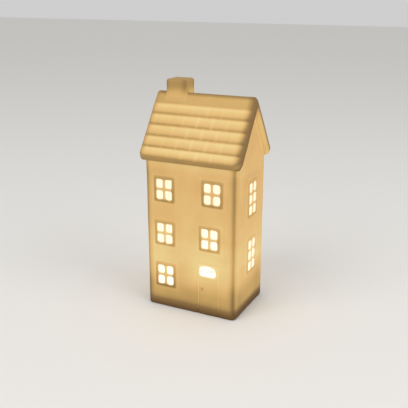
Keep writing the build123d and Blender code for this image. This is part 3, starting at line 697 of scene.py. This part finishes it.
def roof_glow(places, normals):
    """Light through the roof: the shingles' light, less under the eaves, on rake faces and up the chimney."""
    x, y, z = places.T
    across, along, proud = from_chimney(places)
    facing = normals[:, 1] * np.sign(y) * math.sin(PITCH) + normals[:, 2] * math.cos(PITCH)
    light = course_light(places) * smooth_step(*TOP_FACING, facing)
    light *= smooth_step(EAVE_ROLL_HEIGHT - EAVE_DARK, EAVE_ROLL_HEIGHT + EAVE_BRIGHT, z)
    eave = smooth_step(EAVE_ROLL_HEIGHT + EAVE_FADE, EAVE_ROLL_HEIGHT, z) * smooth_step(*EAVE_FACING, facing)
    light = np.maximum(light, EAVE_LIGHT * eave)
    outside = smooth_step(WALL_WIDTH / 2 - MM / 2, WALL_WIDTH / 2, np.abs(x))
    turned = smooth_step(*RAKE_FACING, facing) * outside
    behind = smooth_step(-BACK_RAKE, BACK_RAKE, y) * smooth_step(BACK_RAKE_TOP, BACK_RAKE_UNDER, proud)
    light += (RAKE_FACE_LIGHT + BACK_RAKE_LIGHT * behind - light) * turned
    stack = STACK_LIGHT - STACK_SHADE * smooth_step(RIDGE + STACK_LOW, RIDGE + STACK_HIGH, z)
    corner = smooth_step(STACK_CORNER, 0, np.maximum(across, along))
    corner *= smooth_step(RIDGE + STACK_CORNER_LOW, RIDGE + STACK_CORNER_HIGH, z)
    stack *= 1 - STACK_CORNER_SHADE * corner
    on_stack = smooth_step(STACK_FOOT, STACK_CLEAR, proud) * (np.minimum(across, along) > -STACK_SKIN)
    return light + (stack - light) * on_stack


def add_glow(walls, roof):
    """Write to each vertex how much light comes through (glow) and whether the lamp lights it (lit)."""
    for piece in (walls, roof):
        places, normals = read_vertices(piece)
        far, way_out = out_of_room(places)
        facing_out = (normals * way_out).sum(1)
        reach = WALL + FRAME_RISE if piece == walls else WALL / 3
        deep = (reach * share for share in LIT_DEPTH_SHARES)
        lit = smooth_step(*deep, far) * smooth_step(*LIT_FACING, facing_out)
        lit *= smooth_step(LIT_FLOOR_LOW, LIT_FLOOR_HIGH, places[:, 2])
        if piece == walls:
            glow = wall_glow(piece, places, normals, lit < LIT_OUTSIDE)
        else:
            glow = spread(piece, roof_glow(places, normals), LIGHT_SPREAD)
        from_lamp = np.linalg.norm(places - np.array(LAMP), axis=1) / LAMP_NEAR
        lit *= 1 + LAMP_NEAR_LIGHT * np.exp(-(from_lamp**2))
        for name, values in (("glow", glow), ("lit", lit)):
            layer = piece.data.attributes.new(name, "FLOAT", "POINT")
            layer.data.foreach_set("value", values.astype(np.float32))


def linear(code):
    """An sRGB hex colour as linear red, green, blue and alpha."""
    shares = [int(code[start : start + 2], 16) / 255 for start in (1, 3, 5)]
    return (*[c / 12.92 if c <= 0.04045 else ((c + 0.055) / 1.055) ** 2.4 for c in shares], 1.0)


def add_node(tree, kind, links=(), values=(), **settings):
    """Add a node with its settings, input values, and links as (input, node, output)."""
    node = tree.nodes.new(kind)
    for name, value in settings.items():
        setattr(node, name, value)
    for socket, value in values:
        node.inputs[socket].default_value = value
    for socket, source, output in links:
        tree.links.new(source.outputs[output], node.inputs[socket])
    return node


def new_material(name, **values):
    """An empty material: itself, its node tree, and its shader with constant values set."""
    material = bpy.data.materials.new(name)
    material.use_nodes = True
    shader = material.node_tree.nodes["Principled BSDF"]
    for socket, value in values.items():
        shader.inputs[socket.replace("_", " ")].default_value = value
    return material, material.node_tree, shader


def set_ramp(ramp, stops):
    """Give a colour ramp its stops, as (place, hex colour)."""
    elements = ramp.color_ramp.elements
    while len(elements) < len(stops):
        elements.new(1.0)
    for element, (place, code) in zip(elements, stops):
        element.position, element.color = place, linear(code)


def bisque_porcelain():
    """Unglazed porcelain, lit from inside: matte, thin places glow and thick ones stay dim."""
    material, tree, shader = new_material("bisque_porcelain", Roughness=0.7, IOR=1.45, Emission_Strength=1.0)
    cloud_size, grit_size = 16 * MM, 0.9 * MM
    place = add_node(tree, "ShaderNodeTexCoord")
    glow = add_node(tree, "ShaderNodeAttribute", attribute_name="glow")
    lit = add_node(tree, "ShaderNodeAttribute", attribute_name="lit")
    clouds = add_node(
        tree,
        "ShaderNodeTexNoise",
        [("Vector", place, "Object")],
        [("Scale", 1 / cloud_size), ("Detail", 3.0)],
    )
    uneven = add_node(
        tree,
        "ShaderNodeMapRange",
        [("Value", clouds, "Fac")],
        [("From Min", 0.3), ("From Max", 0.7), ("To Min", 0.6), ("To Max", 0.65)],
    )
    amount = add_node(tree, "ShaderNodeMath", [(0, glow, "Fac"), (1, uneven, "Result")], operation="MULTIPLY")
    # Painted glow: an emission colour read off the vertex glow, standing in for lamplight through the
    # porcelain, with its painted shade at corners, eaves and rakes
    warm = add_node(tree, "ShaderNodeValToRGB", [("Fac", amount, "Value")])
    set_ramp(
        warm,
        (
            (0.0, "#000000"),
            (0.18, "#2b1906"),
            (0.31, "#846836"),
            (0.375, "#a17d4e"),
            (0.44, "#aa8f5c"),
            (0.51, "#b4a472"),
            (0.6, "#bbab79"),
            (1.0, "#e4d8aa"),
        ),
    )
    # Lamplight on the inside is a little brighter than white
    lamplight = [1.1 * share for share in linear("#ffe9ce")]
    shine = add_node(
        tree,
        "ShaderNodeMix",
        [("Factor", lit, "Fac"), (6, warm, "Color")],
        [(7, lamplight)],
        data_type="RGBA",
        clamp_factor=False,
    )
    # Base colours darker than real porcelain, as the light through it is added to them, and darker still
    # where the glow is dim: painted shade on thick places
    clay_with_painted_shade = add_node(tree, "ShaderNodeValToRGB", [("Fac", amount, "Value")])
    set_ramp(clay_with_painted_shade, ((0.05, "#684a22"), (0.32, "#a88a54")))
    # Base colour: the clay colours with their painted shade, and a plain dark brown where the lamp lights the
    # inside
    body = add_node(
        tree,
        "ShaderNodeMix",
        [("Factor", lit, "Fac"), (6, clay_with_painted_shade, "Color")],
        [(7, linear("#5b503c"))],
        data_type="RGBA",
    )
    # Grit of about 0.2 mm is too fine to show, so it is drawn at 0.9 mm
    grit = add_node(
        tree,
        "ShaderNodeTexNoise",
        [("Vector", place, "Object")],
        [("Scale", 1 / grit_size), ("Detail", 2.0)],
    )
    bump = add_node(
        tree, "ShaderNodeBump", [("Height", grit, "Fac")], [("Strength", 0.15), ("Distance", 0.1 * MM)]
    )
    tree.links.new(shine.outputs[2], shader.inputs["Emission Color"])
    tree.links.new(body.outputs[2], shader.inputs["Base Color"])
    tree.links.new(bump.outputs["Normal"], shader.inputs["Normal"])
    return material


def grained(name, colours, grain, roughness, relief=0.0, along=(1, 1, 1), **values):
    """A material whose colour and roughness vary over a grain of a real size, with a slight relief."""
    material, tree, shader = new_material(name, **values)
    place = add_node(tree, "ShaderNodeTexCoord")
    aligned = add_node(tree, "ShaderNodeMapping", [("Vector", place, "Object")], [("Scale", along)])
    noise = add_node(
        tree, "ShaderNodeTexNoise", [("Vector", aligned, "Vector")], [("Scale", 1 / grain), ("Detail", 3.0)]
    )
    tint = add_node(tree, "ShaderNodeValToRGB", [("Fac", noise, "Fac")])
    set_ramp(tint, ((0.3, colours[0]), (0.7, colours[1])))
    dull = add_node(
        tree,
        "ShaderNodeMapRange",
        [("Value", noise, "Fac")],
        [("To Min", roughness[0]), ("To Max", roughness[1])],
    )
    bump = add_node(
        tree, "ShaderNodeBump", [("Height", noise, "Fac")], [("Strength", 0.4), ("Distance", relief)]
    )
    tree.links.new(tint.outputs["Color"], shader.inputs["Base Color"])
    tree.links.new(dull.outputs["Result"], shader.inputs["Roughness"])
    tree.links.new(bump.outputs["Normal"], shader.inputs["Normal"])
    return material


def solder_mask():
    """Green solder mask over woven glass: smooth and a little glossy, the weave just showing through."""
    material, tree, shader = new_material("solder_mask", IOR=1.5)
    place = add_node(tree, "ShaderNodeTexCoord")
    # Threads lie 0.5 mm apart, and a wave's scale counts about 3.2 bands per unit
    threads = [
        add_node(
            tree,
            "ShaderNodeTexWave",
            [("Vector", place, "Object")],
            [("Scale", 1 / (0.5 * MM) / 3.2)],
            bands_direction=direction,
        )
        for direction in "XY"
    ]
    weave = add_node(
        tree, "ShaderNodeMath", [(0, threads[0], "Fac"), (1, threads[1], "Fac")], operation="MULTIPLY"
    )
    tint = add_node(tree, "ShaderNodeValToRGB", [("Fac", weave, "Value")])
    set_ramp(tint, ((0.0, "#14512c"), (1.0, "#1f6a3b")))
    dull = add_node(
        tree, "ShaderNodeMapRange", [("Value", weave, "Value")], [("To Min", 0.28), ("To Max", 0.42)]
    )
    tree.links.new(tint.outputs["Color"], shader.inputs["Base Color"])
    tree.links.new(dull.outputs["Result"], shader.inputs["Roughness"])
    return material


def cast_epoxy():
    """The lamp's cast epoxy, lit: palest round the chip in its middle, warmer towards its rim."""
    material, tree, shader = new_material("cast_epoxy", Roughness=0.12, IOR=1.52, Emission_Strength=90.0)
    chip_share = 0.55
    low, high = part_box("led_lens")
    chip_height = low.z + (high.z - low.z) * chip_share
    chip = Vector(((low.x + high.x) / 2, (low.y + high.y) / 2, chip_height))
    reach = 1 / (high.z - low.z)
    place = add_node(tree, "ShaderNodeTexCoord")
    centred = add_node(
        tree,
        "ShaderNodeMapping",
        [("Vector", place, "Object")],
        [("Location", -chip * reach), ("Scale", (reach, reach, reach))],
    )
    ball = add_node(tree, "ShaderNodeTexGradient", [("Vector", centred, "Vector")], gradient_type="SPHERICAL")
    light = add_node(tree, "ShaderNodeValToRGB", [("Fac", ball, "Fac")])
    set_ramp(light, ((0.3, "#f6e0b8"), (0.7, "#fff6e4")))
    tree.links.new(light.outputs["Color"], shader.inputs["Emission Color"])
    shader.inputs["Base Color"].default_value = linear("#f4e6c4")
    return material


def dress_insert():
    """Give every solid of the light insert its finish."""
    metal = {"Metallic": 1.0}
    finishes = {
        # Moulded silicone: milky, with a soft waxy sheen
        grained("moulded_silicone", ("#d3d1c8", "#dfddd5"), 3 * MM, (0.4, 0.55), 0.01 * MM): [
            "insert_gasket"
        ],
        # Moulded ABS: a spark-eroded grain of 0.1 mm, drawn at 0.4 mm to show
        grained("moulded_abs", ("#dedacd", "#e8e5da"), 0.4 * MM, (0.42, 0.6), 0.03 * MM): [
            "insert_housing",
            "insert_base",
            "battery_door",
        ],
        # Zinc plate on turned steel: bluish, slightly cloudy
        grained("zinc_plate", ("#b4bac1", "#cdd1d5"), 0.7 * MM, (0.25, 0.45), **metal): [
            "housing_screws",
            "battery_door_screw",
        ],
        solder_mask(): ["circuit_board"],
        cast_epoxy(): ["led_lens"],
        # Silvered leadframe: bright and clean
        grained("silver_plate", ("#d0d0cb", "#e2e2de"), 0.5 * MM, (0.15, 0.3), **metal): ["led_cup"],
        # Tin: soft grey shine with solder flow marks
        grained("tin_plate", ("#b7b7b4", "#cfcfcc"), 0.8 * MM, (0.25, 0.45), **metal): [
            "led_leads",
            "switch_terminals",
        ],
        # Overglaze of a chip resistor: black, half matte
        grained("resistor_glaze", ("#121214", "#1e1e21"), 0.4 * MM, (0.35, 0.5), 0.01 * MM): ["resistor"],
        # Pressed, nickel-plated sheet: rolling marks along its length
        grained(
            "pressed_sheet", ("#9c9ea1", "#b6b8ba"), 0.5 * MM, (0.28, 0.45), along=(4, 0.5, 4), **metal
        ): ["switch_frame"],
        # Paper laminate: brown, with fibres
        grained("paper_laminate", ("#4a2c17", "#68452c"), 0.6 * MM, (0.55, 0.75), 0.01 * MM, (3, 0.6, 3)): [
            "switch_base"
        ],
        # Moulded nylon of the switch: black, dull
        grained("black_nylon", ("#161618", "#232326"), 0.5 * MM, (0.45, 0.6), 0.02 * MM): ["switch_slider"],
        # Spring brass under thin nickel: pale yellow metal
        grained("spring_brass", ("#b3a174", "#cbbb8d"), 0.8 * MM, (0.25, 0.4), along=(1, 4, 1), **metal): [
            "contact_negative",
            "contact_positive",
        ],
        # Pressed steel can of the cell: even satin
        grained("satin_steel", ("#b3b4b2", "#c6c7c5"), 0.6 * MM, (0.3, 0.42), along=(5, 0.4, 1), **metal): [
            "coin_cell"
        ],
        # Natural nylon ring: off-white, waxy
        grained("natural_nylon", ("#d8d5c9", "#e4e1d7"), 0.8 * MM, (0.4, 0.5), 0.01 * MM): ["screw_retainer"],
    }
    for material, names in finishes.items():
        for name in names:
            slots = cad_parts[name].data.materials
            slots.clear()
            slots.append(material)


def add_camera():
    """The camera, where the photograph was taken from."""
    eye, aim = Vector((206.15, -420.87, 232.38)) * MM, Vector((-1.62, 0.0, 77.52)) * MM
    data = bpy.data.cameras.new("camera")
    data.lens, data.sensor_width, data.clip_start = 57.6, 36.0, 0.01
    made = bpy.data.objects.new("camera", data)
    made.location = eye
    made.rotation_euler = (aim - eye).to_track_quat("-Z", "Y").to_euler()
    bpy.context.collection.objects.link(made)
    bpy.context.scene.camera = made


def softbox(name, place, width, watts):
    """A square soft light that faces the house."""
    house_middle = Vector((0, 0, 80 * MM))
    data = bpy.data.lights.new(name, "AREA")
    data.shape, data.size, data.energy = "SQUARE", width, watts
    made = bpy.data.objects.new(name, data)
    made.location = place
    made.rotation_euler = (house_middle - Vector(place)).to_track_quat("-Z", "Y").to_euler()
    bpy.context.collection.objects.link(made)


def studio():
    """A plain pale floor, soft light from all round and above, and a pale surround."""
    deselect()
    bpy.ops.mesh.primitive_plane_add(size=8.0)
    floor = bpy.context.object
    floor.name = "floor"
    material, tree, shader = new_material("pale_floor", Roughness=0.9)
    shader.inputs["Base Color"].default_value = linear("#efede9")
    floor.data.materials.append(material)
    world = bpy.data.worlds.new("studio")
    bpy.context.scene.world = world
    world.use_nodes = True
    background = world.node_tree.nodes["Background"]
    background.inputs["Color"].default_value = linear("#ffffff")
    background.inputs["Strength"].default_value = 0.62
    softbox("key", (-0.35, -0.9, 1.0), 0.8, 5.0)
    softbox("fill", (1.0, -0.2, 0.7), 0.8, 4.0)


add_camera()
studio()
dress_insert()
walls, roof = house_walls(), house_roof()
add_glow(walls, roof)
porcelain = bisque_porcelain()
for piece in (walls, roof):
    piece.data.materials.clear()
    piece.data.materials.append(porcelain)
    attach(piece, "house")
    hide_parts("porcelain_house")
bpy.context.scene.view_settings.view_transform = "Standard"
